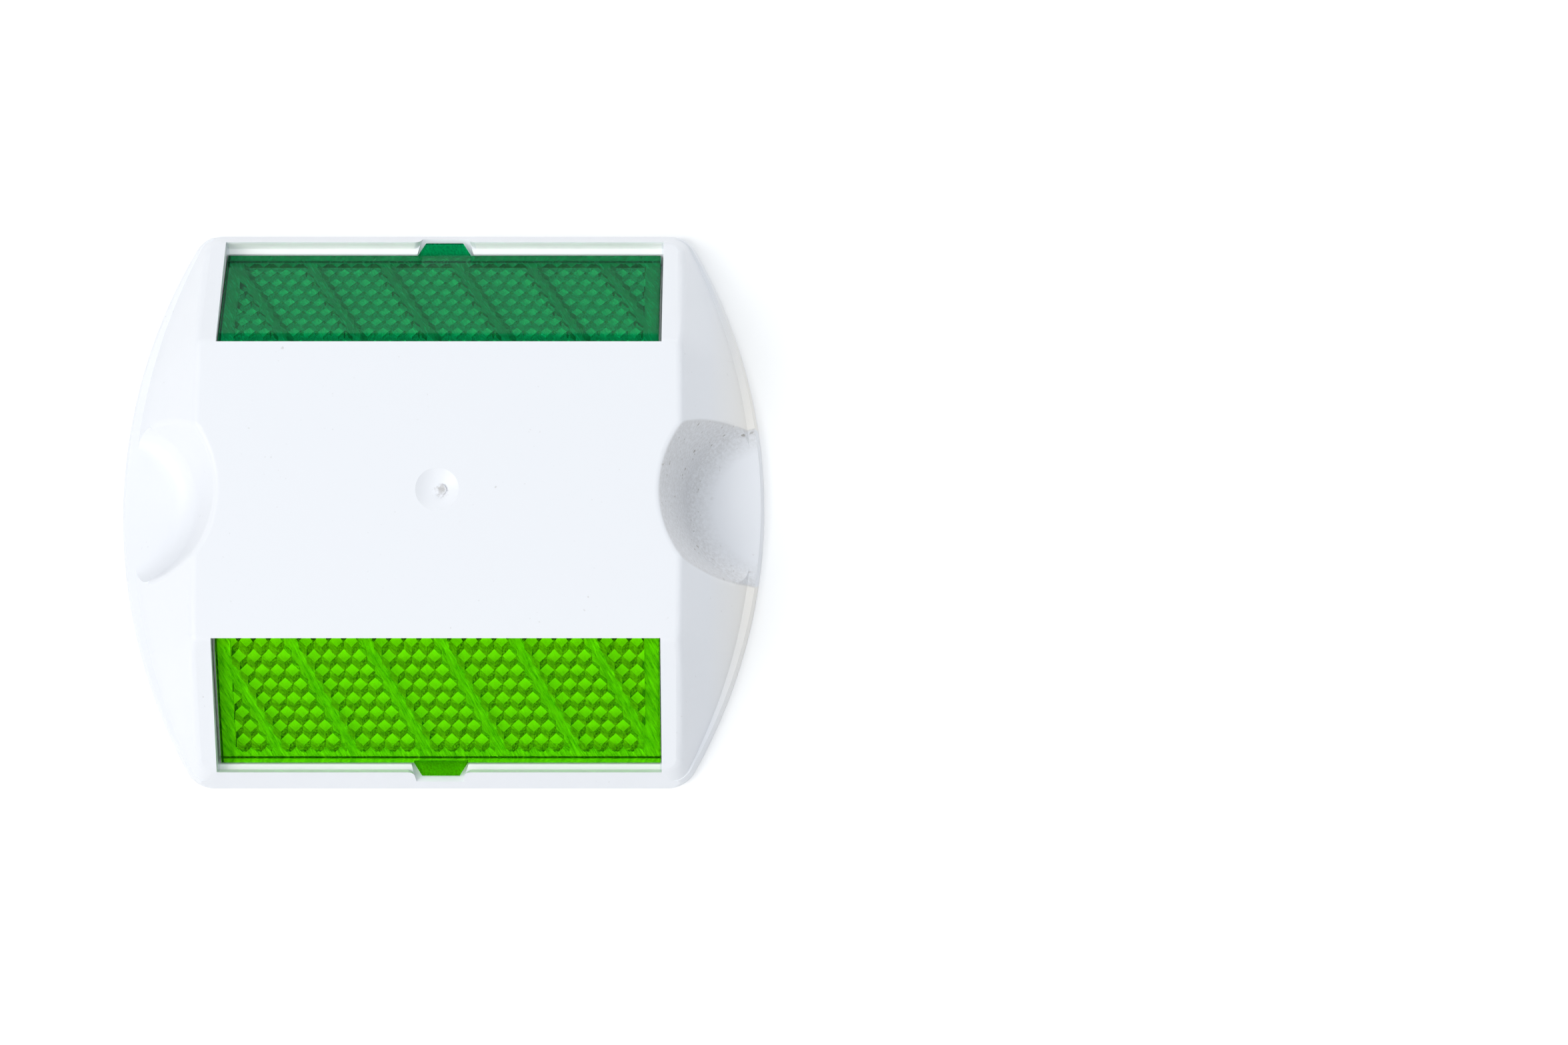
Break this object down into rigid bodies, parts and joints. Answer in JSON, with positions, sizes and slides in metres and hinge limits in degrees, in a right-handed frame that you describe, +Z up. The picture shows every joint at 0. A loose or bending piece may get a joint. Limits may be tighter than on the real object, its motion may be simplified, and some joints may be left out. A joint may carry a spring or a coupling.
{
  "type": "road stud",
  "caption": "Raised road stud with a white moulded body round a black ribbed core, a green prism lens on each slope and a finger scoop in each flank",
  "frame": {"origin": "Middle of the underside, in the plane of the white ring that rests on the road", "axes": "+X from finger scoop to finger scoop, +Y from the front lens to the rear lens, +Z up from the road"},
  "size_m": [0.1016, 0.0888, 0.0185],
  "materials": {
    "white_plastic": "satin",
    "black_plastic": "matt",
    "green_lens": "clear gloss"
  },
  "bodies": {
    "root": {"outer_body": "white_plastic", "inner_core": "black_plastic", "front_lens": "green_lens", "rear_lens": "green_lens"}
  },
  "joints": []
}
